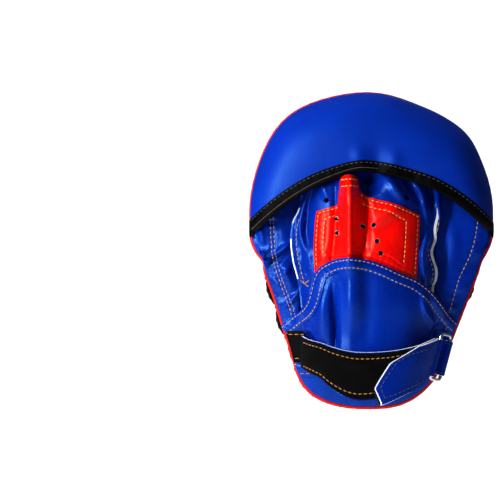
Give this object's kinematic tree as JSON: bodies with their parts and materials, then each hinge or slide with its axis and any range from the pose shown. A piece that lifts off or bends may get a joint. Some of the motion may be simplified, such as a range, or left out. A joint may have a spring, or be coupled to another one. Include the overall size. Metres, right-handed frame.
{
  "type": "focus mitt",
  "caption": "Curved punching focus mitt with a padded striking face, laced edge, hand pocket, finger hood and hook-and-loop wrist strap through a steel ring.",
  "frame": {"origin": "palm face of the pad, in the middle of the hand pocket", "axes": "+Z to the fingertips, +X to the right seen from the hand side, +Y out of the striking face"},
  "size_m": [0.2078, 0.1002, 0.2765],
  "materials": {
    "cover_blue": "satin",
    "trim_red": "satin",
    "target_print": "satin",
    "lace_black": "matte",
    "tape_black": "matte",
    "loop_black": "matte",
    "hook_black": "matte",
    "impact_foam": "matte",
    "core_foam": "matte",
    "palm_foam": "matte",
    "ring_steel": "gloss"
  },
  "bodies": {
    "mitt": {"strike_cover": "cover_blue", "target_print": "target_print", "edge_piping": "trim_red", "edge_binding": "trim_red", "side_gusset": "cover_blue", "gusset_lace": "lace_black", "impact_foam": "impact_foam", "core_foam": "core_foam", "palm_foam": "palm_foam", "back_panel": "cover_blue", "rear_binding": "trim_red", "finger_hood": "cover_blue", "hood_binding": "tape_black", "glove_back": "cover_blue", "knuckle_patch": "trim_red", "wrist_cover": "cover_blue", "wrist_cover_hem": "cover_blue", "side_panel_left": "cover_blue", "side_panel_right": "cover_blue", "strap_anchor": "tape_black", "anchor_tab": "cover_blue", "strap_band": "cover_blue", "strap_loop_face": "loop_black", "ring_keeper": "cover_blue"},
    "ring": {"strap_ring": "ring_steel"},
    "tail": {"strap_tail": "cover_blue", "tail_hook_patch": "hook_black"}
  },
  "joints": [
    {"name": "ring_swivel", "type": "hinge", "parent": "mitt", "child": "ring", "pos_m": [0.06254, -0.00116, -0.09029], "axis": [0.2588, 0, 0.9659], "range_deg": [0, 35]},
    {"name": "tail_peel", "type": "hinge", "parent": "ring", "child": "tail", "pos_m": [0.054, -0.01, -0.088], "axis": [0.2588, 0, 0.9659], "range_deg": [0, 110]}
  ]
}
